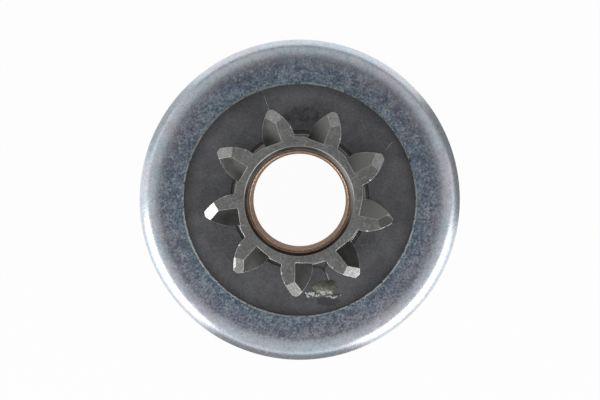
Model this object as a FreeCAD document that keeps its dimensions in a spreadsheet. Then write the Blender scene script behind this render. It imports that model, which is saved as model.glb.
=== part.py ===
import FreeCAD, Part
import math
import os
import re
import Sketcher
from FreeCAD import Placement, Rotation, Vector

# A starter drive that stands on the rear end of its splined sleeve, pinion up.
# Lengths are millimetres and angles are degrees. The clutch axis is the Z axis.
os.makedirs("parts", exist_ok=True)
doc = FreeCAD.newDocument("starter_drive")
dims = doc.addObject("Spreadsheet::Sheet", "dims")

size = {
    # steps along the axis, from the rear end of the sleeve up to the pinion face
    "sleeve_length": 34.0,
    "wall_thickness": 5.0,
    "pocket_depth": 15.0,
    "retainer_thickness": 2.0,
    "shell_sheet": 1.25,
    "teeth_standoff": 3.25,
    "tooth_length": 17.5,
    # what several pieces share
    "axial_gap": 0.3,
    "running_gap": 0.06,
    "edge_chamfer": 0.5,
    "cut_overrun": 1.0,
    # shaft bore, its bushing and the walls of the pinion around them
    "shaft_radius": 7.95,
    "bushing_wall": 0.5,
    "bushing_length": 20.75,
    "bushing_recess": 0.55,
    "bushing_chamfer": 0.12,
    "countersink_width": 0.49,
    "relief_step": 0.55,
    "inner_race_wall": 5.0,
    "neck_wall": 2.25,
    # pinion teeth
    "tooth_count": 9,
    "gear_module": 2.54,
    "pressure_angle": 14.5,
    "tooth_half_angle": 13.09,
    "tooth_addendum": 4.12,
    "tooth_dedendum": 0.93,
    "root_fillet": 0.4,
    "tip_round": 0.4,
    "pinion_turn": 27.95,
    # lead chamfers of the teeth
    "side_chamfer_line": 0.28,
    "side_chamfer_slope": 45.0,
    "side_chamfer_reach": 4.5,
    "side_chamfer_inset": 0.48,
    "tip_chamfer_turn": 24.4,
    "tip_chamfer_run": 4.09,
    "tip_chamfer_slope": 33.7,
    "tip_chamfer_start": 1.0,
    "tip_chamfer_width": 8.5,
    # half washers in the mouth of the clutch
    "retainer_clearance": 0.75,
    "retainer_seat": 2.6,
    "retainer_corner": 1.5,
    "retainer_seam": 0.12,
    "seam_turn": 109.2,
    # shell
    "shell_fit": 0.05,
    "shell_shoulder": 3.8,
    "shell_lip": 7.85,
    "shell_edge_break": 0.3,
    "crimp_bend": 1.9,
    "crimp_lap": 2.0,
    # outer race and sleeve
    "race_gap": 0.08,
    "race_wall": 6.05,
    "rim_height": 1.0,
    "rim_step": 1.0,
    "sleeve_wall": 2.1,
    "sleeve_relief_step": 0.3,
    "spline_count": 10,
    "spline_clearance": 1.85,
    "spline_depth": 1.1,
    "spline_half_width": 1.5,
    "spline_twist": 64.0,
    "spline_steps": 8,
    "spline_entry": 1.4,
    # cam pockets, rollers, cups and their springs
    "roller_count": 5,
    "roller_radius": 3.25,
    "roller_gap": 0.05,
    "roller_chamfer": 0.4,
    "cam_angle": 7.0,
    "lock_room": 0.7,
    "spring_room": 2.35,
    "plunger_offset": 0.1,
    "plunger_radius": 2.1,
    "plunger_length": 5.0,
    "plunger_wall": 0.6,
    "plunger_head": 1.2,
    "plunger_bore_depth": 6.9,
    "spring_wire": 0.45,
    "spring_clearance": 0.125,
    "spring_turns": 5,
    # thrust washer
    "thrust_thickness": 1.0,
    "thrust_clearance": 0.2,
    # snap ring in its groove and the stop ring over it
    "snap_rear": 2.2,
    "snap_thickness": 1.4,
    "snap_width": 2.15,
    "snap_groove_depth": 0.8,
    "snap_clearance": 0.05,
    "snap_play": 0.1,
    "snap_sweep": 330.0,
    "stop_skirt": 0.8,
    "stop_floor": 1.35,
    "stop_wall": 2.0,
    # shift collar
    "collar_length": 10.7,
    "collar_radius": 21.0,
    "collar_flange": 2.4,
    "collar_wall": 2.74,
    # spring seat and meshing spring
    "seat_thickness": 1.2,
    "seat_margin": 1.7,
    "meshing_wire": 2.0,
    "meshing_clearance": 1.3,
    "meshing_turns": 4,
}

# levels along the axis and radii that follow from the driving sizes
derived = {
    "wall_front": "sleeve_length + wall_thickness",
    "race_front": "wall_front + pocket_depth",
    "retainer_front": "race_front + retainer_thickness",
    "shell_front": "retainer_front + shell_sheet",
    "teeth_rear": "shell_front + teeth_standoff",
    "pinion_front": "teeth_rear + tooth_length",
    "thrust_front": "wall_front + thrust_thickness",
    "pinion_rear": "thrust_front + axial_gap",
    "inner_race_front": "race_front - axial_gap",
    "bushing_front": "pinion_front - bushing_recess",
    "bushing_rear": "bushing_front - bushing_length",
    "bushing_radius": "shaft_radius + bushing_wall",
    "countersink_radius": "bushing_radius + countersink_width",
    "relief_radius": "bushing_radius + relief_step",
    "race_radius": "relief_radius + inner_race_wall",
    "neck_radius": "relief_radius + neck_wall",
    "pitch_radius": "gear_module * tooth_count / 2",
    "tip_radius": "pitch_radius + tooth_addendum",
    "root_radius": "pitch_radius - tooth_dedendum",
    "side_chamfer_wall": "root_radius - side_chamfer_inset",
    "tip_chamfer_line": "tip_radius - tip_chamfer_run",
    "roller_circle": "race_radius + roller_gap + roller_radius",
    "roller_length": "pocket_depth - 2 * axial_gap",
    "cam_reach": "roller_circle * cos(cam_angle * 1 deg) + roller_radius + roller_gap",
    "pocket_lock_side": "roller_radius + lock_room",
    "pocket_spring_side": "roller_radius + spring_room",
    "plunger_line": "roller_circle + plunger_offset",
    "plunger_level": "wall_front + pocket_depth / 2",
    "plunger_bore_end": "pocket_spring_side + plunger_bore_depth",
    "cup_bore_radius": "plunger_radius - plunger_wall",
    "spring_mean_radius": "cup_bore_radius - spring_clearance - spring_wire / 2",
    "shell_inside": "roller_circle + roller_radius + race_wall",
    "shell_radius": "shell_inside + shell_sheet",
    "shell_opening": "shell_radius - shell_lip",
    "shoulder_inside": "shell_shoulder - shell_sheet",
    "crimp_rear": "sleeve_length - shell_sheet",
    "crimp_inside": "crimp_bend - shell_sheet",
    "crimp_radius": "shell_inside - crimp_lap",
    "retainer_bore": "neck_radius + retainer_clearance",
    "retainer_radius": "shell_inside - retainer_seat",
    "spline_minor": "shaft_radius + spline_clearance",
    "spline_major": "spline_minor + spline_depth",
    "sleeve_relief": "spline_major + sleeve_relief_step",
    "sleeve_radius": "spline_major + sleeve_wall",
    "sleeve_fit": "sleeve_radius + running_gap",
    "thrust_inner": "sleeve_relief + thrust_clearance",
    "thrust_outer": "race_radius - thrust_clearance",
    "snap_front": "snap_rear + snap_thickness",
    "snap_groove": "sleeve_radius - snap_groove_depth",
    "snap_inner": "snap_groove + snap_clearance",
    "snap_outer": "snap_inner + snap_width",
    "stop_rear": "snap_rear - stop_skirt",
    "stop_recess_front": "snap_front + snap_clearance",
    "stop_recess_radius": "snap_outer + snap_play",
    "stop_front": "stop_recess_front + stop_floor",
    "stop_radius": "stop_recess_radius + stop_wall",
    "collar_rear": "stop_front + axial_gap",
    "collar_front": "collar_rear + collar_length",
    "collar_hub": "sleeve_fit + collar_wall",
    "seat_rear": "collar_front + axial_gap",
    "seat_front": "seat_rear + seat_thickness",
    "meshing_mean_radius": "sleeve_radius + meshing_clearance + meshing_wire / 2",
    "seat_radius": "meshing_mean_radius + meshing_wire / 2 + seat_margin",
}

row = 0
for name, amount in size.items():
    row += 1
    dims.set(f"A{row}", name)
    dims.set(f"B{row}", f"{amount:g}")
    dims.setAlias(f"B{row}", name)
for name, formula in derived.items():
    row += 1
    dims.set(f"A{row}", name)
    dims.set(f"B{row}", "=" + formula)
    dims.setAlias(f"B{row}", name)
doc.recompute()


def value(name):
    return float(getattr(dims, name))


def bound(text):
    """A formula of sizes, with each size looked up in the sheet."""
    words = set(size) | set(derived)
    return re.sub(r"[a-z][a-z_0-9]*", lambda w: "dims." + w[0] if w[0] in words else w[0], text)


def number(owner, text):
    return float(owner.evalExpression(bound(text)))


def origin_item(body, role):
    return [item for item in body.Origin.OriginFeatures if item.Role == role][0]


def new_body(name):
    body = doc.addObject("PartDesign::Body", name)
    body.Label = name
    return body


def sketch_on(body, name, plane, lift="0", turn=None):
    """A sketch on one of the body's own planes, lifted along its normal and turned."""
    sketch = body.newObject("Sketcher::SketchObject", name)
    sketch.AttachmentSupport = [(origin_item(body, plane), "")]
    sketch.MapMode = "FlatFace"
    if turn is not None:
        sketch.AttachmentOffset = Placement(Vector(0, 0, 0), turn)
    sketch.setExpression("AttachmentOffset.Base.z", bound(lift))
    return sketch


def hold(sketch, kind, edge, end, text):
    """Ties one coordinate of a corner to a formula of sizes."""
    at = sketch.addConstraint(Sketcher.Constraint(kind, -1, 1, edge, end, number(sketch, text)))
    sketch.setExpression(f"Constraints[{at}]", bound(text))


def outline(sketch, corners):
    """A closed outline of straight lines through corners given as formulas."""
    spots = [Vector(number(sketch, across), number(sketch, up), 0) for across, up in corners]
    count = len(spots)
    for i in range(count):
        sketch.addGeometry(Part.LineSegment(spots[i], spots[(i + 1) % count]), False)
    for i in range(count):
        sketch.addConstraint(Sketcher.Constraint("Coincident", i, 2, (i + 1) % count, 1))
    for i, (across, up) in enumerate(corners):
        hold(sketch, "DistanceX", i, 1, across)
        hold(sketch, "DistanceY", i, 1, up)
    return sketch


def ring(sketch, across, up, radius):
    """A circle whose centre and radius are formulas."""
    centre = Vector(number(sketch, across), number(sketch, up), 0)
    radius_now = number(sketch, radius)
    edge = sketch.addGeometry(Part.Circle(centre, Vector(0, 0, 1), radius_now), False)
    hold(sketch, "DistanceX", edge, 3, across)
    hold(sketch, "DistanceY", edge, 3, up)
    at = sketch.addConstraint(Sketcher.Constraint("Radius", edge, radius_now))
    sketch.setExpression(f"Constraints[{at}]", bound(radius))
    return sketch


def revolved(body, name, corners, kind="PartDesign::Revolution", angle="360"):
    """A turned shape: corners are (distance from the axis, height)."""
    sketch = outline(sketch_on(body, name + "_outline", "XZ_Plane"), corners)
    turned = body.newObject(kind, name)
    turned.Profile = sketch
    turned.ReferenceAxis = (origin_item(body, "Z_Axis"), [""])
    turned.setExpression("Angle", bound(angle))
    body.Tip = turned
    return turned


def pocket(body, name, sketch, depth, reverse=False):
    cut = body.newObject("PartDesign::Pocket", name)
    cut.Profile = sketch
    cut.setExpression("Length", bound(depth))
    cut.Reversed = reverse
    body.Tip = cut
    return cut


def round_pattern(body, name, features, count):
    pattern = body.newObject("PartDesign::PolarPattern", name)
    pattern.Originals = features
    pattern.Axis = (origin_item(body, "Z_Axis"), [""])
    pattern.Angle = 360
    pattern.setExpression("Occurrences", bound(count))
    body.Tip = pattern
    return pattern


def fillet(body, name, base, edges, radius):
    rounding = body.newObject("PartDesign::Fillet", name)
    rounding.Base = (base, edges)
    rounding.setExpression("Radius", bound(radius))
    body.Tip = rounding
    return rounding


same_place = 0.01


def rims(feature, radius, height):
    """Names of the circular edges of this radius at this height."""
    found = []
    for i, edge in enumerate(feature.Shape.Edges, 1):
        if edge.Curve.TypeId != "Part::GeomCircle":
            continue
        off_radius = abs(edge.Curve.Radius - radius)
        off_height = abs(edge.Curve.Center.z - height)
        if max(off_radius, off_height) < same_place:
            found.append(f"Edge{i}")
    return found


# the pinion blank: inner race, neck, tooth ring and stepped bore in one turning
pinion = new_body("pinion")
revolved(
    pinion,
    "blank",
    [
        ("relief_radius", "pinion_rear"),
        ("race_radius - edge_chamfer", "pinion_rear"),
        ("race_radius", "pinion_rear + edge_chamfer"),
        ("race_radius", "inner_race_front - edge_chamfer"),
        ("race_radius - edge_chamfer", "inner_race_front"),
        ("neck_radius", "inner_race_front"),
        ("neck_radius", "teeth_rear"),
        ("tip_radius", "teeth_rear"),
        ("tip_radius", "pinion_front"),
        ("countersink_radius", "pinion_front"),
        ("bushing_radius", "pinion_front - countersink_width"),
        ("bushing_radius", "bushing_rear - axial_gap"),
        ("relief_radius", "bushing_rear - axial_gap"),
    ],
)


def involute(angle):
    return math.tan(angle) - angle


def space_sketch(body, name):
    """One tooth space: root land, root fillets, involute flanks and rounded tooth tips."""
    pressure = math.radians(value("pressure_angle"))
    base = value("pitch_radius") * math.cos(pressure)
    root = value("root_radius")
    tip = value("tip_radius")
    corner = value("root_fillet")
    rounding = value("tip_round")
    outside = tip + value("cut_overrun")
    half_pitch = math.pi / value("tooth_count")
    at_base = math.radians(value("tooth_half_angle")) + involute(pressure)

    def half_space(radius):
        return half_pitch - at_base + involute(math.acos(base / radius))

    def spot(radius, angle):
        turned = half_pitch + angle
        return Vector(radius * math.cos(turned), radius * math.sin(turned), 0)

    def bow(centre, start, end, radius):
        return centre + (start + end - centre * 2).normalize() * radius

    fillet_centre = root + corner
    corner_angle = math.asin(corner / fillet_centre)
    corner_end = fillet_centre * math.cos(corner_angle)
    narrow = half_pitch - at_base
    land = narrow - corner_angle
    # the tip is rounded about a point that lies as far from the flank as from the tip circle
    round_centre = tip - rounding
    flank_end = math.hypot(base, math.sqrt(round_centre**2 - base**2) + rounding)
    round_angle = half_space(round_centre) + rounding / base
    steps = 8
    radii = [base + (flank_end - base) * (i / steps) ** 2 for i in range(steps + 1)]
    sketch = sketch_on(body, name, "XY_Plane", "pinion_front")
    pieces = []
    for side in (1, -1):
        from_root = spot(root, side * land)
        to_flank = spot(corner_end, side * narrow)
        root_bow = bow(spot(fillet_centre, side * land), from_root, to_flank, corner)
        flank = Part.BSplineCurve()
        flank.interpolate([spot(r, side * half_space(r)) for r in radii])
        from_flank = spot(flank_end, side * half_space(flank_end))
        to_tip = spot(tip, side * round_angle)
        tip_bow = bow(spot(round_centre, side * round_angle), from_flank, to_tip, rounding)
        pieces.append(Part.Arc(from_root, root_bow, to_flank))
        pieces.append(Part.LineSegment(to_flank, spot(base, side * narrow)))
        pieces.append(flank)
        pieces.append(Part.Arc(from_flank, tip_bow, to_tip))
        pieces.append(Part.LineSegment(to_tip, spot(outside, side * round_angle)))
    pieces.append(Part.Arc(spot(root, land), spot(root, 0), spot(root, -land)))
    pieces.append(
        Part.Arc(spot(outside, round_angle), spot(outside, 0), spot(outside, -round_angle))
    )
    for piece in pieces:
        sketch.addGeometry(piece, False)
    return sketch


space = pocket(pinion, "tooth_space", space_sketch(pinion, "space_outline"), "tooth_length")
round_pattern(pinion, "tooth_spaces", [space], "tooth_count")

# each tooth gets a steep lead chamfer on one side, cut from its centre line outward
side_outline = outline(
    sketch_on(pinion, "side_chamfer_outline", "YZ_Plane", "side_chamfer_wall"),
    [
        ("-side_chamfer_line", "pinion_front"),
        ("-side_chamfer_line", "pinion_front + cut_overrun"),
        ("side_chamfer_reach", "pinion_front + cut_overrun"),
        (
            "side_chamfer_reach",
            "pinion_front - (side_chamfer_reach + side_chamfer_line) * tan(side_chamfer_slope * 1 deg)",
        ),
    ],
)
side_depth = "tip_radius - side_chamfer_wall + cut_overrun"
side_cut = pocket(pinion, "side_chamfer", side_outline, side_depth, True)

# and a shallower facet across the tip that is turned toward the same side
tip_turn = Rotation(Vector(0, 1, 0), value("tip_chamfer_turn"))
tip_sketch = sketch_on(pinion, "tip_chamfer_outline", "XZ_Plane", "-tip_chamfer_start", tip_turn)
tip_outline = outline(
    tip_sketch,
    [
        ("tip_chamfer_line", "pinion_front"),
        ("tip_chamfer_line", "pinion_front + cut_overrun"),
        ("tip_radius + cut_overrun", "pinion_front + cut_overrun"),
        (
            "tip_radius + cut_overrun",
            "pinion_front - (tip_chamfer_run + cut_overrun) * tan(tip_chamfer_slope * 1 deg)",
        ),
    ],
)
tip_cut = pocket(pinion, "tip_chamfer", tip_outline, "tip_chamfer_width", True)
round_pattern(pinion, "lead_chamfers", [side_cut, tip_cut], "tooth_count")
pinion.setExpression("Placement.Rotation.Angle", bound("pinion_turn"))

bushing = new_body("pinion_bushing")
revolved(
    bushing,
    "bushing_ring",
    [
        ("shaft_radius", "bushing_rear"),
        ("bushing_radius", "bushing_rear"),
        ("bushing_radius", "bushing_front"),
        ("shaft_radius + bushing_chamfer", "bushing_front"),
        ("shaft_radius", "bushing_front - bushing_chamfer"),
    ],
)

# two half washers, each a little short of a half turn so that a thin seam stays open
for side, seam_turn in (("left", "seam_turn"), ("right", "seam_turn + 180")):
    half = new_body("retainer_half_" + side)
    sketch = sketch_on(half, side + "_half_outline", "XY_Plane", "race_front")
    outer = value("retainer_radius")
    inner = value("retainer_bore")
    seam = value("retainer_seam") / 2
    outer_x = math.sqrt(outer**2 - seam**2)
    inner_x = math.sqrt(inner**2 - seam**2)
    sketch.addGeometry(
        Part.Arc(Vector(outer_x, seam, 0), Vector(0, outer, 0), Vector(-outer_x, seam, 0)), False
    )
    sketch.addGeometry(Part.LineSegment(Vector(-outer_x, seam, 0), Vector(-inner_x, seam, 0)), False)
    sketch.addGeometry(
        Part.Arc(Vector(-inner_x, seam, 0), Vector(0, inner, 0), Vector(inner_x, seam, 0)), False
    )
    sketch.addGeometry(Part.LineSegment(Vector(inner_x, seam, 0), Vector(outer_x, seam, 0)), False)
    plate = half.newObject("PartDesign::Pad", side + "_plate")
    plate.Profile = sketch
    plate.setExpression("Length", bound("retainer_thickness"))
    half.Tip = plate
    doc.recompute()
    corners = []
    for i, edge in enumerate(plate.Shape.Edges, 1):
        spot = edge.CenterOfMass
        off_upright = abs(edge.BoundBox.ZLength - value("retainer_thickness"))
        off_bore = abs(math.hypot(spot.x, spot.y) - inner)
        if max(off_upright, off_bore) < same_place:
            corners.append(f"Edge{i}")
    fillet(half, side + "_corners", plate, corners, "retainer_corner")
    half.setExpression("Placement.Rotation.Angle", bound(seam_turn))

# the drawn shell: round opening, rounded shoulder, plain wall and rolled rear lip
shell = new_body("clutch_shell")
shell_wall = revolved(
    shell,
    "shell_wall",
    [
        ("shell_opening", "retainer_front"),
        ("shell_inside", "retainer_front"),
        ("shell_inside", "sleeve_length"),
        ("crimp_radius", "sleeve_length"),
        ("crimp_radius", "crimp_rear"),
        ("shell_radius", "crimp_rear"),
        ("shell_radius", "shell_front"),
        ("shell_opening + shell_edge_break", "shell_front"),
        ("shell_opening", "shell_front - shell_edge_break"),
    ],
)
doc.recompute()
bends = (
    ("shoulder", "shell_radius", "shell_front", "shell_shoulder"),
    ("inner_shoulder", "shell_inside", "retainer_front", "shoulder_inside"),
    ("crimp", "shell_radius", "crimp_rear", "crimp_bend"),
    ("inner_crimp", "shell_inside", "sleeve_length", "crimp_inside"),
)
last = shell_wall
for name, radius, height, bend in bends:
    last = fillet(shell, name, last, rims(last, value(radius), value(height)), bend)
    doc.recompute()

# the outer race, rear wall and splined sleeve are one forging
clutch_body = new_body("clutch_body")
revolved(
    clutch_body,
    "forging",
    [
        ("0", "spline_entry"),
        ("spline_minor", "spline_entry"),
        ("spline_minor + spline_entry", "0"),
        ("sleeve_radius - edge_chamfer", "0"),
        ("sleeve_radius", "edge_chamfer"),
        ("sleeve_radius", "snap_rear - snap_play"),
        ("snap_groove", "snap_rear - snap_play"),
        ("snap_groove", "snap_front + snap_play"),
        ("sleeve_radius", "snap_front + snap_play"),
        ("sleeve_radius", "sleeve_length"),
        ("shell_inside - crimp_inside", "sleeve_length"),
        ("shell_inside", "sleeve_length + crimp_inside"),
        ("shell_inside", "retainer_front - shoulder_inside - shell_fit"),
        ("shell_inside - rim_step", "race_front + rim_height"),
        ("retainer_radius", "race_front + rim_height"),
        ("retainer_radius", "race_front"),
        ("race_radius + race_gap", "race_front"),
        ("race_radius + race_gap", "wall_front"),
        ("sleeve_relief", "wall_front"),
        ("sleeve_relief", "sleeve_length"),
        ("0", "sleeve_length"),
    ],
)

# cam pockets: the outer wall leans so that a roller jams toward the lock side
cam = "(cam_reach - ({0}) * sin(cam_angle * 1 deg)) / cos(cam_angle * 1 deg)"
cam_outline = outline(
    sketch_on(clutch_body, "cam_outline", "XY_Plane", "race_front"),
    [
        ("race_radius - cut_overrun", "pocket_lock_side"),
        (cam.format("pocket_lock_side"), "pocket_lock_side"),
        (cam.format("-pocket_spring_side"), "-pocket_spring_side"),
        ("race_radius - cut_overrun", "-pocket_spring_side"),
    ],
)
cam_pocket = pocket(clutch_body, "cam_pocket", cam_outline, "pocket_depth")
bore_outline = ring(
    sketch_on(clutch_body, "spring_bore_outline", "XZ_Plane", "pocket_spring_side - cut_overrun"),
    "plunger_line",
    "plunger_level",
    "plunger_radius + running_gap",
)
bore_depth = "plunger_bore_depth + cut_overrun"
spring_bore = pocket(clutch_body, "spring_bore", bore_outline, bore_depth, True)
round_pattern(clutch_body, "cam_pockets", [cam_pocket, spring_bore], "roller_count")

# the bore of the sleeve: right-hand helical splines, carried up in short straight steps
def spline_section(lift, turn):
    sketch = sketch_on(clutch_body, "spline_section", "XY_Plane", lift)
    sketch.setExpression("AttachmentOffset.Rotation.Angle", bound(turn))
    minor = value("spline_minor")
    major = value("spline_major")
    count = int(value("spline_count"))
    side_minor = math.asin(value("spline_half_width") / minor)
    side_major = math.asin(value("spline_half_width") / major)
    half_period = math.pi / count
    corners = []
    for k in range(count):
        middle = 2 * half_period * k
        for radius, angle in (
            (minor, -side_minor),
            (major, -side_major),
            (major, side_major),
            (minor, side_minor),
            (minor, half_period),
        ):
            around = middle + angle
            corners.append(Vector(radius * math.cos(around), radius * math.sin(around), 0))
    for start, end in zip(corners, corners[1:] + corners[:1]):
        sketch.addGeometry(Part.LineSegment(start, end), False)
    return sketch


sections = []
for i in range(int(value("spline_steps")) + 1):
    lift = f"{i} * (sleeve_length + 2 * cut_overrun) / spline_steps - cut_overrun"
    sections.append(spline_section(lift, f"{i} * spline_twist / spline_steps"))
splines = clutch_body.newObject("PartDesign::SubtractiveLoft", "splines")
splines.Profile = sections[0]
splines.Sections = sections[1:]
splines.Ruled = True
clutch_body.Tip = splines

thrust_washer = new_body("race_thrust_washer")
revolved(
    thrust_washer,
    "thrust_ring",
    [
        ("thrust_inner", "wall_front"),
        ("thrust_outer", "wall_front"),
        ("thrust_outer", "thrust_front"),
        ("thrust_inner", "thrust_front"),
    ],
)


def faceted_coil(mean_radius, wire, length, turns, steps, sides):
    """A coil of faceted wire that stands on the XY plane, as a closed solid."""
    rise = length - wire
    count = turns * steps
    rings = []
    for i in range(count + 1):
        around = 2 * math.pi * i / steps
        height = wire / 2 + rise * i / count
        ring_now = []
        for k in range(sides):
            tilt = 2 * math.pi * (k + 0.5) / sides
            reach = mean_radius + wire / 2 * math.cos(tilt)
            up = height + wire / 2 * math.sin(tilt)
            ring_now.append(Vector(reach * math.cos(around), reach * math.sin(around), up))
        rings.append(ring_now)
    faces = [Part.Face(Part.makePolygon(end + end[:1])) for end in (rings[0], rings[-1])]
    for low, high in zip(rings, rings[1:]):
        for k in range(sides):
            after = (k + 1) % sides
            for corner in ((low[k], low[after], high[after]), (low[k], high[after], high[k])):
                faces.append(Part.Face(Part.makePolygon(list(corner) + [corner[0]])))
    coil = Part.Solid(Part.Shell(faces))
    if coil.Volume < 0:
        coil.reverse()
    return coil


# five sets of roller, cup and spring; each set lies along a tangent of the clutch
for i in range(int(value("roller_count"))):
    station = f"{i} * 360 / roller_count"
    label = str(i + 1)
    station_now = math.radians(360 * i / value("roller_count"))
    tangent = Vector(-math.sin(station_now), math.cos(station_now), 0)

    roller = new_body("roller_" + label)
    revolved(
        roller,
        "roller_shape_" + label,
        [
            ("0", "0"),
            ("roller_radius - roller_chamfer", "0"),
            ("roller_radius", "roller_chamfer"),
            ("roller_radius", "roller_length - roller_chamfer"),
            ("roller_radius - roller_chamfer", "roller_length"),
            ("0", "roller_length"),
        ],
    )
    roller.setExpression("Placement.Base.x", bound(f"roller_circle * cos({station} * 1 deg)"))
    roller.setExpression("Placement.Base.y", bound(f"roller_circle * sin({station} * 1 deg)"))
    roller.setExpression("Placement.Base.z", bound("wall_front + axial_gap"))

    cup = new_body("roller_plunger_" + label)
    revolved(
        cup,
        "cup_shape_" + label,
        [
            ("0", "0"),
            ("0", "-plunger_head"),
            ("cup_bore_radius", "-plunger_head"),
            ("cup_bore_radius", "-plunger_length"),
            ("plunger_radius", "-plunger_length"),
            ("plunger_radius", "0"),
        ],
    )
    lie = Rotation(Vector(0, 0, 1), tangent)
    cup.Placement = Placement(Vector(0, 0, 0), lie)
    along = "(roller_radius + axial_gap)"
    across_x = f"plunger_line * cos({station} * 1 deg) + {along} * sin({station} * 1 deg)"
    across_y = f"plunger_line * sin({station} * 1 deg) - {along} * cos({station} * 1 deg)"
    cup.setExpression("Placement.Base.x", bound(across_x))
    cup.setExpression("Placement.Base.y", bound(across_y))
    cup.setExpression("Placement.Base.z", bound("plunger_level"))

    spring = doc.addObject("Part::Feature", "roller_spring_" + label)
    spring.Label = "roller_spring_" + label
    head_back = value("roller_radius") + value("axial_gap") + value("plunger_head")
    spring.Shape = faceted_coil(
        value("spring_mean_radius"),
        value("spring_wire"),
        value("plunger_bore_end") - head_back,
        int(value("spring_turns")),
        steps=10,
        sides=4,
    )
    spring.Placement = Placement(Vector(0, 0, 0), lie)
    back = "plunger_bore_end"
    base_x = f"plunger_line * cos({station} * 1 deg) + {back} * sin({station} * 1 deg)"
    base_y = f"plunger_line * sin({station} * 1 deg) - {back} * cos({station} * 1 deg)"
    spring.setExpression("Placement.Base.x", bound(base_x))
    spring.setExpression("Placement.Base.y", bound(base_y))
    spring.setExpression("Placement.Base.z", bound("plunger_level"))

stop_ring = new_body("stop_ring")
revolved(
    stop_ring,
    "stop_shape",
    [
        ("stop_recess_radius", "stop_rear"),
        ("stop_radius", "stop_rear"),
        ("stop_radius", "stop_front - edge_chamfer"),
        ("stop_radius - edge_chamfer", "stop_front"),
        ("sleeve_fit", "stop_front"),
        ("sleeve_fit", "stop_recess_front"),
        ("stop_recess_radius", "stop_recess_front"),
    ],
)

snap_ring = new_body("snap_ring")
revolved(
    snap_ring,
    "snap_shape",
    [
        ("snap_inner", "snap_rear"),
        ("snap_outer", "snap_rear"),
        ("snap_outer", "snap_front"),
        ("snap_inner", "snap_front"),
    ],
    angle="snap_sweep",
)

collar = new_body("shift_collar")
revolved(
    collar,
    "collar_shape",
    [
        ("sleeve_fit", "collar_rear"),
        ("collar_radius - edge_chamfer", "collar_rear"),
        ("collar_radius", "collar_rear + edge_chamfer"),
        ("collar_radius", "collar_rear + collar_flange"),
        ("collar_hub", "collar_rear + collar_flange"),
        ("collar_hub", "collar_front - collar_flange"),
        ("collar_radius", "collar_front - collar_flange"),
        ("collar_radius", "collar_front - edge_chamfer"),
        ("collar_radius - edge_chamfer", "collar_front"),
        ("sleeve_fit", "collar_front"),
    ],
)

seat = new_body("spring_seat")
revolved(
    seat,
    "seat_shape",
    [
        ("sleeve_fit", "seat_rear"),
        ("seat_radius", "seat_rear"),
        ("seat_radius", "seat_front"),
        ("sleeve_fit", "seat_front"),
    ],
)

meshing_spring = doc.addObject("Part::Feature", "meshing_spring")
meshing_spring.Label = "meshing_spring"
meshing_spring.Shape = faceted_coil(
    value("meshing_mean_radius"),
    value("meshing_wire"),
    value("sleeve_length") - value("seat_front"),
    int(value("meshing_turns")),
    steps=20,
    sides=8,
)
meshing_spring.setExpression("Placement.Base.z", bound("seat_front"))

doc.recompute()
for item in doc.Objects:
    if "Invalid" in item.State or "Error" in item.State:
        raise RuntimeError(f"{item.Name} is {item.State}")

names = [
    "pinion",
    "pinion_bushing",
    "retainer_half_left",
    "retainer_half_right",
    "clutch_shell",
    "clutch_body",
    "race_thrust_washer",
    "stop_ring",
    "snap_ring",
    "shift_collar",
    "spring_seat",
    "meshing_spring",
]
for i in range(int(value("roller_count"))):
    names += [f"roller_{i + 1}", f"roller_plunger_{i + 1}", f"roller_spring_{i + 1}"]
for name in names:
    shape = doc.getObject(name).Shape
    if shape.isNull() or not shape.isValid():
        raise RuntimeError(name + " has no valid shape")
    shape.exportStep(f"parts/{name}.step")
print(f"{len(names)} pieces written")
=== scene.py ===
import math
import bmesh
import bpy
from mathutils import Matrix, Vector, noise


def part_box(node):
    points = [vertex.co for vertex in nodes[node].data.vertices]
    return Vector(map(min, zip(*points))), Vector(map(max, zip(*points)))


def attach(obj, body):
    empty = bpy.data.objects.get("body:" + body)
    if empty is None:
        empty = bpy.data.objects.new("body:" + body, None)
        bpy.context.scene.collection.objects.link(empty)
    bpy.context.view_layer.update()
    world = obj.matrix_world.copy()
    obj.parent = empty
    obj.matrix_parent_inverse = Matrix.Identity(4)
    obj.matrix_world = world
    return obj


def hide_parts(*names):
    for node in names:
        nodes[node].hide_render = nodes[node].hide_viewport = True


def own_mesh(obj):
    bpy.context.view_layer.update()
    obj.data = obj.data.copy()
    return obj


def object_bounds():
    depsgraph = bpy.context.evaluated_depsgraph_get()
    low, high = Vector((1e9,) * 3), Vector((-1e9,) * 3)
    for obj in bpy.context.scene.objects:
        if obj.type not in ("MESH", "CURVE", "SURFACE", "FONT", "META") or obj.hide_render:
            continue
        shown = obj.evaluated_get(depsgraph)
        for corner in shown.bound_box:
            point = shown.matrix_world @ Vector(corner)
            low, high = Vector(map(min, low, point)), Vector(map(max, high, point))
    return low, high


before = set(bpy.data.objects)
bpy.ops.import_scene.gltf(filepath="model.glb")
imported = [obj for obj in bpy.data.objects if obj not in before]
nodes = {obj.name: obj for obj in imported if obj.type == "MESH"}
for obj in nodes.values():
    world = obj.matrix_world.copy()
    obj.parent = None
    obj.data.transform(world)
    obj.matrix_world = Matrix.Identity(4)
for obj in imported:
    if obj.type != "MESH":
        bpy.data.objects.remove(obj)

cadBox = [list(map(float, corner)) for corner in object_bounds()]
scene = bpy.context.scene
mm = 0.001
faceHeight = cadBox[1][2]
print("frame loaded:", len(nodes), "pieces")


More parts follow.
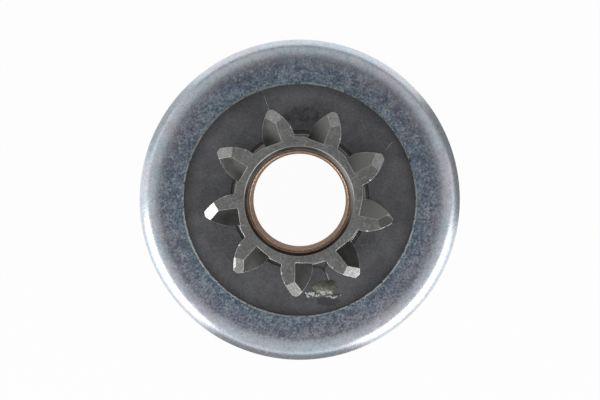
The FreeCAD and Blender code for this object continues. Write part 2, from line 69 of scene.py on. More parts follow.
# a socket that adds its own math nodes when it is used in an expression
class Sock:
    def __init__(self, graph, out):
        self.graph = graph
        self.out = out

    def math(self, kind, *values):
        return self.graph.node("ShaderNodeMath", {"operation": kind}, dict(enumerate(values)))

    def __add__(self, other):
        return self.math("ADD", self, other)

    def __radd__(self, other):
        return self.math("ADD", other, self)

    def __sub__(self, other):
        return self.math("SUBTRACT", self, other)

    def __rsub__(self, other):
        return self.math("SUBTRACT", other, self)

    def __mul__(self, other):
        return self.math("MULTIPLY", self, other)

    def __rmul__(self, other):
        return self.math("MULTIPLY", other, self)

    def __truediv__(self, other):
        return self.math("DIVIDE", self, other)

    def __rtruediv__(self, other):
        return self.math("DIVIDE", other, self)

    def __abs__(self):
        return self.math("ABSOLUTE", self)

    def most(self, other):
        return self.math("MAXIMUM", self, other)

    # 0 below start, 1 above end, or the other way round where end is the smaller
    def soft(self, start, end):
        low, high, first, last = (start, end, 0.0, 1.0) if start < end else (end, start, 1.0, 0.0)
        settings = {"interpolation_type": "SMOOTHSTEP"}
        sockets = {0: self, 1: low, 2: high, 3: first, 4: last}
        return self.graph.node("ShaderNodeMapRange", settings, sockets)

    # soft between two places that are given in millimetres
    def between(self, places):
        start, end = places
        return self.soft(start * mm, end * mm)

    # rises from start to full, and falls from last to gone
    def window(self, start, full, last, gone):
        return self.soft(start, full) * self.soft(gone, last)


class Graph:
    def __init__(self, tree):
        self.tree = tree

    def give(self, socket, value):
        if isinstance(value, Sock):
            self.tree.links.new(value.out, socket)
        elif socket.type == "RGBA" and len(value) == 3:
            socket.default_value = (*value, 1.0)
        else:
            socket.default_value = value

    def node(self, kind, settings=None, sockets=None, out=0):
        made = self.tree.nodes.new(kind)
        for key, setting in (settings or {}).items():
            if key == "stops":
                ramp = made.color_ramp
                while len(ramp.elements) < len(setting):
                    ramp.elements.new(0.5)
                for element, (spot, color) in zip(ramp.elements, setting):
                    element.position = spot
                    element.color = (*color, 1.0)
            else:
                setattr(made, key, setting)
        for key, value in (sockets or {}).items():
            self.give(made.inputs[key], value)
        return Sock(self, made.outputs[out])

    def mix(self, factor, first, second):
        sockets = {0: factor, 6: first, 7: second}
        return self.node("ShaderNodeMix", {"data_type": "RGBA"}, sockets, out=2)

    def axes(self, place):
        return [self.node("ShaderNodeSeparateXYZ", {}, {0: place}, out=i) for i in range(3)]

    def ramp(self, value, *stops):
        return self.node("ShaderNodeValToRGB", {"stops": stops}, {0: value})


class Mat(Graph):
    def __init__(self, name, **fixed):
        self.material = bpy.data.materials.new(name)
        self.material.use_nodes = True
        super().__init__(self.material.node_tree)
        self.tree.nodes.clear()
        self.output = self.tree.nodes.new("ShaderNodeOutputMaterial")
        self.shader = self.tree.nodes.new("ShaderNodeBsdfPrincipled")
        self.tree.links.new(self.shader.outputs[0], self.output.inputs["Surface"])
        self.place = self.node("ShaderNodeTexCoord", out="Object")
        self.use(**fixed)

    def use(self, **sockets):
        for key, value in sockets.items():
            self.give(self.shader.inputs[key.replace("_", " ")], value)
        return self

    # grain is the size of the pattern in millimetres
    def noise(self, grain, detail=2.0, roughness=0.5, warp=0.0):
        sockets = {
            "Vector": self.place, "Scale": 1 / (grain * mm), "Detail": detail,
            "Roughness": roughness, "Distortion": warp,
        }
        return self.node("ShaderNodeTexNoise", {}, sockets)

    # thin wandering lines, where a slow noise passes its middle
    def hairs(self, grain, width):
        return abs(self.noise(grain, 1, 0.4, 0.6) - 0.5).soft(width, 0)

    # distance from the axis of the clutch
    def radius(self):
        x, y = self.axes(self.place)[:2]
        squared = x * x + y * y
        return squared.math("SQRT", squared)

    # an uneven patch round a place on the clutch, all in millimetres
    def patch(self, centre, size, ragged, grain):
        x, y = self.axes(self.place)[:2]
        across = (x - centre[0] * mm) / (size[0] * mm)
        up = (y - centre[1] * mm) / (size[1] * mm)
        reach = across * across + up * up + (self.noise(grain, 3, 0.6) - 0.5) * (2 * ragged)
        return reach.soft(1.25, 0.55)

    # a straight scratch between two places
    def scratch(self, start, end, width):
        x, y = self.axes(self.place)[:2]
        run = Vector(end) - Vector(start)
        along = run.normalized()
        rise = x - start[0] * mm
        side = y - start[1] * mm
        ahead = (rise * along[0] + side * along[1]) / (run.length * mm)
        off = abs(rise * along[1] - side * along[0])
        return off.soft(width * mm, 0) * ahead.window(0, 0.15, 0.85, 1)

    # 1 along edges worn round by so many millimetres, 0 on the faces between them
    def wear(self, size):
        rounded = self.node("ShaderNodeBevel", {"samples": 6}, {"Radius": size * mm})
        straight = self.node("ShaderNodeNewGeometry", out="Normal")
        settings = {"operation": "DOT_PRODUCT"}
        same = self.node("ShaderNodeVectorMath", settings, {0: rounded, 1: straight}, out="Value")
        return (1 - same).soft(0.008, 0.07)

    # how far a face looks up, in the piece's own axes
    def upright(self):
        return self.axes(self.node("ShaderNodeTexCoord", out="Normal"))[2]

    # a texture height, over edges that are rounded by so many millimetres
    def bump(self, height, depth, edge=0.0):
        sockets = {"Height": height, "Strength": 1.0, "Distance": depth * mm}
        if edge:
            sockets["Normal"] = self.node("ShaderNodeBevel", {"samples": 6}, {"Radius": edge * mm})
        return self.use(Normal=self.node("ShaderNodeBump", {}, sockets))


def dress(made, *names):
    for name in names:
        piece = nodes[name]
        piece.data.materials.clear()
        piece.data.materials.append(made.material)


# zinc plate: slate blue on the flat ring, paler and greyer over the shoulder
# places are radii, or distances above and below the axis of the clutch, in millimetres
zinc = {
    "slate": (0.42, 0.52, 0.66),
    "blue": (0.36, 0.49, 0.72),
    "plum": (0.50, 0.49, 0.61),
    "teal": (0.36, 0.56, 0.70),
    "paintedLightPlum": (0.68, 0.64, 0.78),
    "shoulder": (0.66, 0.69, 0.76),
    "rosePale": (0.72, 0.65, 0.73),
    "tealPale": (0.58, 0.71, 0.78),
    "pinkish": (0.60, 0.54, 0.59),
    "speck": (0.86, 0.95, 1.0),
    "pit": (0.17, 0.21, 0.29),
    "edgeHighlight": (0.95, 0.97, 0.95),
    "mouth": 20.0,
    "edgeHighlightWidth": 0.22,
    "edgeHighlightHeight": 0.3,
    "tealRing": (22.2, 20.6),
    "paintedLightOutside": (20.4, 23.0),
    "paintedLightBelow": (2.0, -8.0),
    "shoulderOutside": (22.6, 25.2),
    "scuffedBelow": (-12.0, -17.0),
    "calmShoulder": 0.72,
    "smoothShoulder": 0.85,
    "roughness": 0.15,
}


# clouds of slate, blue and plum, teal round the mouth, and painted light that makes the outer ring paler
# in the lower half
def ringColor(mat, r, y, broad, patches):
    color = mat.mix(broad.soft(0.38, 0.62), zinc["slate"], zinc["blue"])
    color = mat.mix(patches.soft(0.47, 0.62) * 0.85, color, zinc["plum"])
    color = mat.mix(r.between(zinc["tealRing"]) * 0.5, color, zinc["teal"])
    # painted light: the outer ring is paler on the lower side, toward the lamps
    paintedLight = y.between(zinc["paintedLightBelow"]) * r.between(zinc["paintedLightOutside"])
    return mat.mix(paintedLight * (patches * 0.6 + 0.3), color, zinc["paintedLightPlum"])


# a rose and teal bloom over the shoulder, pinkish where it begins
def shoulderColor(mat, color, shoulder, broad, patches):
    color = mat.mix(shoulder, color, zinc["shoulder"])
    color = mat.mix(shoulder * broad.soft(0.5, 0.66) * 0.6, color, zinc["rosePale"])
    color = mat.mix(shoulder * broad.soft(0.5, 0.36) * 0.6, color, zinc["tealPale"])
    band = shoulder.window(0, 0.35, 0.5, 0.95)
    return mat.mix(band * patches.soft(0.35, 0.6) * 0.55, color, zinc["pinkish"])


# pale specks and dark pits, fewer on the shoulder
def speckled(mat, color, calm, fine, grit):
    clumps = mat.noise(1.7, 4, 0.75)
    specks = fine.soft(0.47, 0.62) * clumps.soft(0.25, 0.58)
    color = mat.mix(specks * calm * 0.75, color, zinc["speck"])
    color = mat.mix(grit.soft(0.54, 0.66) * calm * 0.7, color, zinc["speck"])
    color = mat.mix(grit.soft(0.53, 0.38) * calm * 0.9, color, zinc["pit"])
    color = mat.mix(fine.soft(0.48, 0.38) * calm * 0.35, color, zinc["pit"])
    color = mat.mix(clumps.soft(0.52, 0.36) * calm * 0.5, color, zinc["pit"])
    return mat.mix(clumps.soft(0.52, 0.68) * calm * 0.4, color, zinc["speck"])


# a painted highlight along the cut edge of the sheet round the mouth, just above the half washers
def mouthEdgeHighlight(r, z):
    end = zinc["mouth"] + zinc["edgeHighlightWidth"]
    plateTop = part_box("retainer_half_left")[1][2]
    above = z.soft(plateTop, plateTop + zinc["edgeHighlightHeight"] * mm)
    return r.between((end + 0.4 * zinc["edgeHighlightWidth"], end)) * above


def zincPlate():
    mat = Mat("zinc plate", Metallic=1.0)
    r = mat.radius()
    y, z = mat.axes(mat.place)[1:]
    shoulder = r.between(zinc["shoulderOutside"])
    broad = mat.noise(6, 3, 0.6, 0.6)
    patches = mat.noise(9, 3, 0.65, 0.5)
    fine = mat.noise(0.62, 4, 0.8)
    grit = mat.noise(0.4, 3, 0.8)
    color = ringColor(mat, r, y, broad, patches)
    color = shoulderColor(mat, color, shoulder, broad, patches)
    color = speckled(mat, color, 1 - shoulder * zinc["calmShoulder"], fine, grit)
    low = y.between(zinc["scuffedBelow"])
    scuffs = mat.hairs(2.0, 0.012) * mat.noise(4, 2).soft(0.52, 0.62) * (low * 0.75 + 0.12)
    color = mat.mix(scuffs, color, zinc["speck"])
    # painted highlight on the mouth's cut edge, broken up by nicks
    edge = mouthEdgeHighlight(r, z)
    nicks = mat.noise(0.8, 2).soft(0.3, 0.55)
    color = mat.mix(edge * nicks, color, zinc["edgeHighlight"])
    roughness = fine * 0.12 + scuffs * 0.15 + edge * 0.3 + shoulder * 0.07 + zinc["roughness"]
    mat.use(Base_Color=color, Roughness=roughness)
    texture = (fine + grit * 0.6) * (1 - shoulder * zinc["smoothShoulder"])
    mat.bump(texture, 0.007, edge=0.15)
    return mat


# dark oiled steel of the two half washers
# the painted shadow and the grease stain each have a middle, half sizes, raggedness and grain; a scratch
# has its ends, width and strength
plate = {
    "dark": (0.21, 0.212, 0.225),
    "light": (0.30, 0.303, 0.32),
    "grain": (0.47, 0.475, 0.50),
    "stainAndShade": (0.07, 0.07, 0.075),
    "bright": (0.95, 0.95, 0.95),
    "shadeUnderEdge": (17.9, 19.9),
    "shadeAndSmearAbove": ((0.2, 14.6), (3.4, 1.6), 0.6, 1.4),
    "greaseStain": ((4.9, -17.5), (2.1, 0.9), 0.7, 1.0),
    "scratches": [
        ((16.1, 10.1), (14.7, 8.4), 0.07, 0.6),
        ((10.6, 14.2), (11.4, 12.0), 0.05, 0.25),
        ((-13.0, -9.5), (-11.2, -12.3), 0.05, 0.2),
    ],
    "upperSeamGlint": ((-6.35, 18.25), (-4.6, 13.25)),
    "lowerSeamGlint": ((4.62, -12.6), (5.1, -13.95)),
    "seamGlintWidth": 0.14,
    "roughness": 0.36,
}


def retainerSteel():
    mat = Mat("retainer steel", Metallic=1.0)
    broad = mat.noise(5, 3, 0.6, 0.4)
    fine = mat.noise(0.5, 3, 0.8)
    grit = mat.noise(0.3, 2, 0.8)
    color = mat.mix(broad.soft(0.3, 0.7), plate["dark"], plate["light"])
    color = mat.mix(fine.soft(0.5, 0.7) * 0.32, color, plate["grain"])
    color = mat.mix(grit.soft(0.52, 0.36) * 0.32, color, plate["stainAndShade"])
    # painted shade on the plates under the shell's mouth edge
    color = mat.mix(mat.radius().between(plate["shadeUnderEdge"]) * 0.4, color, plate["stainAndShade"])
    # painted shadow of the pinion on the plate above it, with grease smudges, and a real grease stain
    # under the lump
    smearAndShade = mat.patch(*plate["shadeAndSmearAbove"]) * mat.noise(1.3, 3, 0.7).soft(0.35, 0.6)
    smearAndShade = smearAndShade.most(mat.patch(*plate["greaseStain"]) * 0.8)
    color = mat.mix(smearAndShade * 0.6, color, plate["stainAndShade"])
    # painted highlights along the seams between the two halves; the scratches are real
    seamGlint = mat.scratch(*plate["upperSeamGlint"], plate["seamGlintWidth"])
    seamGlint = seamGlint.most(mat.scratch(*plate["lowerSeamGlint"], plate["seamGlintWidth"]))
    scratchesAndSeamGlint = seamGlint
    for start, end, width, strength in plate["scratches"]:
        scratchesAndSeamGlint = scratchesAndSeamGlint.most(mat.scratch(start, end, width) * strength)
    color = mat.mix(scratchesAndSeamGlint, color, plate["bright"])
    roughness = broad * 0.1 + plate["roughness"] - smearAndShade * 0.1 + seamGlint * 0.3
    mat.use(Base_Color=color, Roughness=roughness)
    mat.bump(fine, 0.005, edge=0.12)
    return mat


# cut pinion steel: fine grain, painted shade on the lead chamfers, a painted dark reflection and a painted
# highlight on two tips, a painted highlight on the countersink rim, and bright worn edges and burrs with
# painted glints
# places are in millimetres, patches are given as on the half washers
# what looks up goes by the z of a face's normal, and litToward is in degrees from +X
gear = {
    "mid": (0.33, 0.33, 0.325),
    "light": (0.43, 0.43, 0.425),
    "dark": (0.13, 0.13, 0.13),
    "grain": (0.78, 0.78, 0.77),
    "bright": (0.98, 0.98, 0.96),
    "countersinkTone": (0.27, 0.25, 0.23),
    "chamferShadeBlack": (0.018, 0.018, 0.018),
    "chamferShadeDark": (0.05, 0.05, 0.049),
    "chamferShadeLight": (0.10, 0.10, 0.098),
    "chamferShadeLit": (0.25, 0.25, 0.245),
    "chamferLooksUp": (0.60, 0.66, 0.76, 0.80),
    "tipLooksUp": (0.79, 0.82, 0.86, 0.90),
    "rimLooksUp": (0.5, 0.6),
    "countersinkInside": (8.96, 8.9),
    "deepShadeBelow": (1.0, -2.0),
    "litToward": 20,
    "litFrom": (5.0, 9.0),
    "darkReflectionTip": ((14.0, -3.4), (1.5, 1.1), 0.15, 0.8),
    "highlightTip": ((-14.0, -1.6), (1.6, 1.6), 0.1, 0.8),
    "burrLumpGlint": ((-10.55, -9.9), (0.24, 1.1), 0.8, 0.45),
    "burrGlintsBelow": (-1.0, -5.0),
    "rimGlint": (8.88, 8.95, 9.0, 9.08),
    "rimAbove": (-1.5, 2.5),
    "rimBeside": (1.5, 5.0),
    "wornEdge": 0.17,
    "wornOutside": (9.15, 9.3),
    "roughness": 0.28,
}


# painted shade on the chamfers: deepest on the lower teeth, lightest on the teeth toward the upper right
def chamferShade(mat, x, y, broad, fine):
    color = mat.mix(broad.soft(0.35, 0.65), gear["chamferShadeDark"], gear["chamferShadeLight"])
    color = mat.mix(y.between(gear["deepShadeBelow"]) * 0.45, color, gear["chamferShadeBlack"])
    turn = math.radians(gear["litToward"])
    ahead = x * math.cos(turn) + y * math.sin(turn)
    return mat.mix(ahead.between(gear["litFrom"]) * (fine * 0.3 + 0.8), color, gear["chamferShadeLit"])


# a painted highlight on the rim of the countersink, brightest on its upper left and right
def countersinkRimHighlight(r, x, y, up):
    sides = y.between(gear["rimAbove"]) * (abs(x).between(gear["rimBeside"]) * 0.7 + 0.3)
    rimGlint = r.window(*[size * mm for size in gear["rimGlint"]]) * up.soft(*gear["rimLooksUp"])
    return rimGlint * (sides * 0.85 + 0.1)


def pinionSteel():
    mat = Mat("pinion steel", Metallic=1.0)
    r = mat.radius()
    x, y = mat.axes(mat.place)[:2]
    up = mat.upright()
    broad = mat.noise(3.2, 2, 0.5)
    fine = mat.noise(0.45, 3, 0.8)
    grit = mat.noise(0.28, 2, 0.8)
    color = mat.mix(broad.soft(0.3, 0.7), gear["mid"], gear["light"])
    # darker and warmer inside the countersink
    color = mat.mix(r.between(gear["countersinkInside"]), color, gear["countersinkTone"])
    color = mat.mix(fine.soft(0.5, 0.72) * 0.6, color, gear["grain"])
    color = mat.mix(grit.soft(0.52, 0.3) * 0.6, color, gear["dark"])
    # painted shade on the lead chamfers, which are picked by how far they look up
    chamfer = up.window(*gear["chamferLooksUp"])
    color = mat.mix(chamfer * 0.97, color, chamferShade(mat, x, y, broad, fine))
    tip = up.window(*gear["tipLooksUp"])
    # painted dark reflection on the tip facet of the tooth at the right
    color = mat.mix(mat.patch(*gear["darkReflectionTip"]) * tip * 0.9, color, gear["chamferShadeLight"])
    # painted highlight on the tip facet of the tooth at the left
    color = mat.mix(mat.patch(*gear["highlightTip"]) * tip * 0.7, color, gear["bright"])
    rimGlint = countersinkRimHighlight(r, x, y, up)
    # bright edges: real wear along every edge, with painted glints on the burrs of the lower teeth
    burrGlints = mat.noise(1.3, 2).soft(0.42, 0.58) * y.between(gear["burrGlintsBelow"])
    outside = r.between(gear["wornOutside"])
    worn = mat.wear(gear["wornEdge"]) * (burrGlints * 0.45 + 0.55) * (outside * 0.85 + 0.15)
    # a real burr raised by the bump, painted bright as a highlight
    burrWithGlint = mat.patch(*gear["burrLumpGlint"])
    color = mat.mix(worn.most(burrWithGlint).most(rimGlint * 0.9), color, gear["bright"])
    roughness = fine * 0.16 + gear["roughness"] + worn * 0.1 + rimGlint * 0.2 + chamfer * 0.16
    mat.use(Base_Color=color, Roughness=roughness)
    texture = (fine + grit * 0.7) * (1 - chamfer * 0.7)
    mat.bump(texture + burrWithGlint * mat.noise(0.35, 2) * 14, 0.008, edge=0.12)
    return mat


# oiled sintered bronze: warm in the bore, darker on the end
bronze = {
    "bore": (0.84, 0.58, 0.42),
    "worn": (0.95, 0.74, 0.58),
    "glancing": (1.0, 0.80, 0.66),
    "end": (0.24, 0.15, 0.10),
    "endSpeck": (0.52, 0.38, 0.29),
    "endDepth": (0.1, 0.02),
    "wornEdge": 0.2,
    "roughness": 0.34,
}


def bushingBronze():
    mat = Mat("bushing bronze", Metallic=1.0, Specular_Tint=bronze["glancing"])
    fine = mat.noise(0.5, 3, 0.7)
    z = mat.axes(mat.place)[2]
    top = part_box("pinion_bushing")[1][2]
    onEnd = (z - top).between([-depth for depth in bronze["endDepth"]])
    bore = mat.mix(fine.soft(0.4, 0.7), bronze["bore"], bronze["worn"])
    end = mat.mix(fine.soft(0.5, 0.75), bronze["end"], bronze["endSpeck"])
    color = mat.mix(onEnd, bore, end)
    color = mat.mix(mat.wear(bronze["wornEdge"]) * 0.7, color, bronze["worn"])
    mat.use(Base_Color=color, Roughness=fine * 0.15 + bronze["roughness"])
    mat.bump(fine, 0.005, edge=0.06)
    return mat


# plain steels of the rear half, each with its own tone
steels = {
    "forged steel": {"dark": (0.2, 0.2, 0.205), "light": (0.3, 0.3, 0.3), "roughness": 0.32},
    "collar steel": {"dark": (0.34, 0.34, 0.34), "light": (0.46, 0.46, 0.46), "roughness": 0.28},
    "washer steel": {"dark": (0.42, 0.42, 0.43), "light": (0.52, 0.52, 0.53), "roughness": 0.26},
    "roller steel": {"dark": (0.5, 0.5, 0.51), "light": (0.6, 0.6, 0.61), "roughness": 0.14},
    "spring steel": {"dark": (0.14, 0.14, 0.15), "light": (0.22, 0.22, 0.23), "roughness": 0.30},
}


def plainSteel(name):
    steel = steels[name]
    mat = Mat(name, Metallic=1.0)
    broad = mat.noise(5.5, 3, 0.6)
    fine = mat.noise(0.6, 2, 0.6)
    color = mat.mix(broad.soft(0.3, 0.7), steel["dark"], steel["light"])
    mat.use(Base_Color=color, Roughness=fine * 0.12 + steel["roughness"])
    mat.bump(fine, 0.004, edge=0.1)
    return mat


springSteel = plainSteel("spring steel")
rollerSprings = [name for name in nodes if name.startswith("roller_spring_")]
sealed = [name for name in nodes if name.startswith("roller_") and name not in rollerSprings]
dress(zincPlate(), "clutch_shell")
dress(retainerSteel(), "retainer_half_left", "retainer_half_right")
dress(pinionSteel(), "pinion")
dress(bushingBronze(), "pinion_bushing")
dress(plainSteel("forged steel"), "clutch_body")
dress(plainSteel("collar steel"), "shift_collar", "stop_ring")
dress(plainSteel("washer steel"), "spring_seat", "race_thrust_washer")
dress(plainSteel("roller steel"), *sealed)
dress(springSteel, "meshing_spring", "snap_ring", *rollerSprings)
print("finishes done")


# springs in round wire, each in the place of the frame's coil
meshingSpring = {"turns": 4, "wire": 2.0, "meanRadius": 15.3, "perTurn": 48, "round": 16, "travel": 6.0}
rollerSpring = {"turns": 5, "wire": 0.45, "meanRadius": 1.15, "perTurn": 24, "round": 10, "travel": 1.6}


# wound up the z axis from z = 0 to the length in metres, then laid in place
def windCoil(name, coil, length, lay):
    wire = coil["wire"] * mm / 2
    bm = bmesh.new()
    start = Matrix.Translation((coil["meanRadius"] * mm, 0, wire))
    start = start @ Matrix.Rotation(math.pi / 2, 4, "X")
    bmesh.ops.create_circle(bm, segments=coil["round"], radius=wire, matrix=start)
    steps = coil["turns"] * coil["perTurn"]
    rise = (length - 2 * wire) / steps
    bmesh.ops.spin(
        bm, geom=bm.verts[:] + bm.edges[:], cent=(0, 0, 0), axis=(0, 0, 1), dvec=(0, 0, rise),
        angle=2 * math.pi * coil["turns"], steps=steps, use_merge=False,
    )
    bmesh.ops.holes_fill(bm, edges=[edge for edge in bm.edges if edge.is_boundary])
    bmesh.ops.recalc_face_normals(bm, faces=bm.faces)
    bmesh.ops.transform(bm, matrix=lay, verts=bm.verts)
    mesh = bpy.data.meshes.new(name)
    bm.to_mesh(mesh)
    bm.free()
    mesh.shade_smooth()
    mesh.materials.append(springSteel.material)
    piece = bpy.data.objects.new(name, mesh)
    scene.collection.objects.link(piece)
    return piece


def meshingCoil():
    low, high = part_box("meshing_spring")
    length = high[2] - low[2]
    piece = windCoil("meshing_coil", meshingSpring, length, Matrix.Translation((0, 0, low[2])))
    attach(piece, "drive")
    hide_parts("meshing_spring")
    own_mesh(piece)


# the first roller spring lies along Y; the others follow round the clutch axis
def rollerCoils():
    low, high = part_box("roller_spring_1")
    cupLow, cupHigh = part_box("roller_plunger_1")
    length = high[1] - low[1]
    back = Vector(((cupLow[0] + cupHigh[0]) / 2, low[1], (cupLow[2] + cupHigh[2]) / 2))
    for i in range(len(rollerSprings)):
        turn = Matrix.Rotation(2 * math.pi * i / len(rollerSprings), 4, "Z")
        lay = turn @ Matrix.Translation(back) @ Matrix.Rotation(-math.pi / 2, 4, "X")
        piece = windCoil(f"roller_coil_{i + 1}", rollerSpring, length, lay)
        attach(piece, "drive")
        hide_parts(f"roller_spring_{i + 1}")
        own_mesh(piece)


meshingCoil()
rollerCoils()
print("springs done")


# grease pressed out over the lower seam: one ragged lump with crumbs along its lower edge that carry
# painted glints
# each lump has its middle, its half sizes across, up and high, and a turn, in millimetres and degrees
grease = {
    "lumps": [
        ((4.5, -15.1), (2.1, 1.15, 0.9), 5),
        ((3.9, -16.3), (2.5, 0.5, 0.5), -4),
        ((2.1, -16.3), (0.35, 0.55, 0.5), 20),
        ((1.65, -16.75), (0.5, 0.2, 0.24), -25),
        ((5.9, -16.7), (0.6, 0.35, 0.4), 10),
        ((6.7, -16.5), (0.5, 0.25, 0.3), 15),
    ],
    "ragged": 0.34,
    "grain": 0.95,
    "voxel": 0.06,
    "clear": (0.25, 0.26, 0.20),
    "murky": (0.13, 0.135, 0.105),
    "glintWhite": (0.93, 0.95, 0.93),
    "fringeBelow": (-15.4, -16.1),
    "fringeAbove": (-17.3, -16.9),
    "crumbHeight": 0.12,
    "roughness": 0.16,
}


def greaseFinish():
    mat = Mat("grease", IOR=1.47)
    y = mat.axes(mat.place)[1]
    broad = mat.noise(1.4, 3, 0.6)
    crumbs = mat.noise(0.8, 2, 0.6, 0.3)
    color = mat.mix(broad.soft(0.35, 0.65), grease["murky"], grease["clear"])
    # painted glints on the crumbs along the lower edge
    fringe = y.between(grease["fringeBelow"]) * y.between(grease["fringeAbove"])
    color = mat.mix(fringe * crumbs.soft(0.43, 0.51), color, grease["glintWhite"])
    mat.use(Base_Color=color, Roughness=broad * 0.1 + grease["roughness"])
    mat.bump(crumbs, grease["crumbHeight"])
    return mat


def greaseLump():
    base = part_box("retainer_half_left")[1][2] / mm
    bm = bmesh.new()
    for (x, y), half, turn in grease["lumps"]:
        middle = Vector((x, y, base))
        lay = Matrix.Translation(middle) @ Matrix.Rotation(math.radians(turn), 4, "Z")
        lay = lay @ Matrix.Diagonal((*half, 1))
        made = bmesh.ops.create_icosphere(bm, subdivisions=4, radius=1, matrix=lay)
        for vert in made["verts"]:
            push = noise.fractal(vert.co / grease["grain"], 1.0, 2.0, 3)
            vert.co += (vert.co - middle) * push * grease["ragged"]
    mesh = bpy.data.meshes.new("grease_raw")
    bm.to_mesh(mesh)
    bm.free()
    raw = bpy.data.objects.new("grease_raw", mesh)
    scene.collection.objects.link(raw)
    remesh = raw.modifiers.new("one skin", "REMESH")
    remesh.mode = "VOXEL"
    remesh.voxel_size = grease["voxel"]
    depsgraph = bpy.context.evaluated_depsgraph_get()
    skin = bpy.data.meshes.new_from_object(raw.evaluated_get(depsgraph))
    bpy.data.objects.remove(raw)
    bm = bmesh.new()
    bm.from_mesh(skin)
    everything = bm.verts[:] + bm.edges[:] + bm.faces[:]
    cut = {"plane_co": (0, 0, base), "plane_no": (0, 0, 1), "clear_inner": True}
    bmesh.ops.bisect_plane(bm, geom=everything, **cut)
    bmesh.ops.holes_fill(bm, edges=[edge for edge in bm.edges if edge.is_boundary])
    bmesh.ops.recalc_face_normals(bm, faces=bm.faces)
    bmesh.ops.scale(bm, vec=(mm, mm, mm), verts=bm.verts)
    bm.to_mesh(skin)
    bm.free()
    skin.name = "grease_lump"
    skin.shade_smooth()
    skin.materials.clear()
    skin.materials.append(greaseFinish().material)
    piece = bpy.data.objects.new("grease_lump", skin)
    scene.collection.objects.link(piece)
    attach(piece, "drive")


greaseLump()
print("grease done")


# camera: a long lens that looks down the clutch axis from just beside it
view = {
    "frameWidth": 600,
    "frameHeight": 400,
    "focalPixels": 2154,
    "distance": 0.350,
    "sensor": 36.0,
    "axisVanish": (309.0, 179.0),
    "faceCentre": (299.05, 201.2),
}


def setCamera():
    lens = bpy.data.cameras.new("camera")
    lens.sensor_width = view["sensor"]
    lens.lens = view["focalPixels"] / view["frameWidth"] * view["sensor"]
    lens.clip_start = 0.01
    lens.clip_end = 10
    camera = bpy.data.objects.new("camera", lens)
    scene.collection.objects.link(camera)
    across = (view["axisVanish"][0] - view["frameWidth"] / 2) / view["focalPixels"]
    up = (view["frameHeight"] / 2 - view["axisVanish"][1]) / view["focalPixels"]
    camera.rotation_euler = (-math.atan(up), math.atan(across), 0)
    turn = camera.rotation_euler.to_matrix()
    faceX = (view["faceCentre"][0] - view["frameWidth"] / 2) / view["focalPixels"]
    faceY = (view["frameHeight"] / 2 - view["faceCentre"][1]) / view["focalPixels"]
    ray = turn @ Vector((faceX, faceY, -1))
    camera.location = Vector((0, 0, faceHeight)) - ray * (view["distance"] / -ray.z)
    scene.camera = camera


# studio: white table, a room that is dim overhead and dark at the horizon, and soft panels
# around is counted from +X in degrees, lengths are metres and power is in watts
# dim holds sectors that the floor shows darker in reflections: four angles, then by how much
# sky holds how near a direction is to the leaning pole, then its level
studio = {
    "floorSize": 1.2,
    "floorTone": 0.8,
    "floorShows": 0.97,
    "dim": [(-14, -4, 34, 44, 0.75), (128, 140, 158, 170, 0.45), (-130, -120, -72, -62, 0.7)],
    "sky": [(0.15, 0.62), (0.55, 0.6), (0.75, 0.53), (0.883, 0.43), (0.94, 0.30), (0.985, 0.20)],
    "leanAround": 85,
    "lean": 14,
    "horizon": (1.6, 0.5),
    "horizonTurn": 78,
    "horizonSide": (0.35, 0.6),
    "horizonRise": (0.12, 0.27),
}
panels = {
    "left panel": {"around": 210, "far": 0.5, "height": 0.118, "size": (0.40, 0.176), "power": 0.88},
    "right panel": {"around": 320, "far": 0.5, "height": 0.118, "size": (0.52, 0.176), "power": 0.9},
    "left card": {"around": 210, "far": 0.15, "height": 0.017, "size": (0.13, 0.025), "power": 0.013},
    "right card": {"around": 320, "far": 0.15, "height": 0.017, "size": (0.16, 0.025), "power": 0.0125},
}


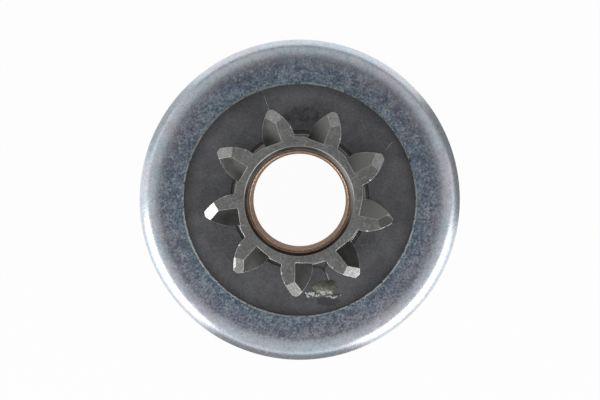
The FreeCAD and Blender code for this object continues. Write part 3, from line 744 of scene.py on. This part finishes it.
def setFloor():
    mesh = bpy.data.meshes.new("floor")
    bm = bmesh.new()
    bmesh.ops.create_grid(bm, x_segments=1, y_segments=1, size=studio["floorSize"])
    bm.to_mesh(mesh)
    bm.free()
    floor = bpy.data.objects.new("floor", mesh)
    scene.collection.objects.link(floor)
    mat = Mat("white floor", Roughness=0.9, Base_Color=(studio["floorTone"],) * 3)
    x, y = mat.axes(mat.place)[:2]
    around = x.math("ARCTAN2", y, x) * math.degrees(1)
    light = 1
    for start, full, last, gone, share in studio["dim"]:
        light = light - around.window(start, full, last, gone) * share
    camera = mat.node("ShaderNodeLightPath", out="Is Camera Ray")
    glow = mat.node("ShaderNodeEmission", {}, {"Color": (1, 1, 1), "Strength": light.most(camera)})
    seen = camera.most(mat.node("ShaderNodeLightPath", out="Is Glossy Ray"))
    seen = seen.most(mat.node("ShaderNodeLightPath", out="Is Transmission Ray"))
    shadowed = Sock(mat, mat.shader.outputs[0])
    both = mat.node("ShaderNodeMixShader", {}, {0: seen * studio["floorShows"], 1: shadowed, 2: glow})
    mat.give(mat.output.inputs["Surface"], both)
    mesh.materials.append(mat.material)


def setRoom():
    world = bpy.data.worlds.new("studio")
    scene.world = world
    world.use_nodes = True
    room = Graph(world.node_tree)
    toward = room.node("ShaderNodeTexCoord", out="Generated")
    around = math.radians(studio["leanAround"])
    lean = math.radians(studio["lean"])
    pole = (math.sin(lean) * math.cos(around), math.sin(lean) * math.sin(around), math.cos(lean))
    settings = {"operation": "DOT_PRODUCT"}
    upward = room.node("ShaderNodeVectorMath", settings, {0: toward, 1: pole}, out="Value")
    tone = room.ramp(upward, *[(height, (level,) * 3) for height, level in studio["sky"]])
    x, y, z = room.axes(toward)
    turn = math.radians(studio["horizonTurn"])
    bright, dull = studio["horizon"]
    side = (x * math.cos(turn) + y * math.sin(turn)).soft(*studio["horizonSide"])
    level = side * (dull - bright) + bright
    low = z.soft(*reversed(studio["horizonRise"]))
    tone = room.node(
        "ShaderNodeVectorMath", {"operation": "SCALE"}, {0: tone, "Scale": 1 + low * (level - 1)}
    )
    camera = room.node("ShaderNodeLightPath", out="Is Camera Ray")
    tone = room.mix(camera, tone, (1, 1, 1))
    room.give(world.node_tree.nodes["Background"].inputs[0], tone)


def setPanels():
    middle = Vector((0, 0, faceHeight))
    for name, panel in panels.items():
        light = bpy.data.lights.new(name, "AREA")
        light.shape = "RECTANGLE"
        light.size, light.size_y = panel["size"]
        light.energy = panel["power"]
        lamp = bpy.data.objects.new(name, light)
        scene.collection.objects.link(lamp)
        around = math.radians(panel["around"])
        lamp.location = (panel["far"] * math.cos(around), panel["far"] * math.sin(around), panel["height"])
        lamp.rotation_euler = (lamp.location - middle).to_track_quat("Z", "Y").to_euler()
        lamp.visible_camera = False


setCamera()
setFloor()
setRoom()
setPanels()
scene.view_settings.view_transform = "Standard"
print("camera, table, room and panels done")
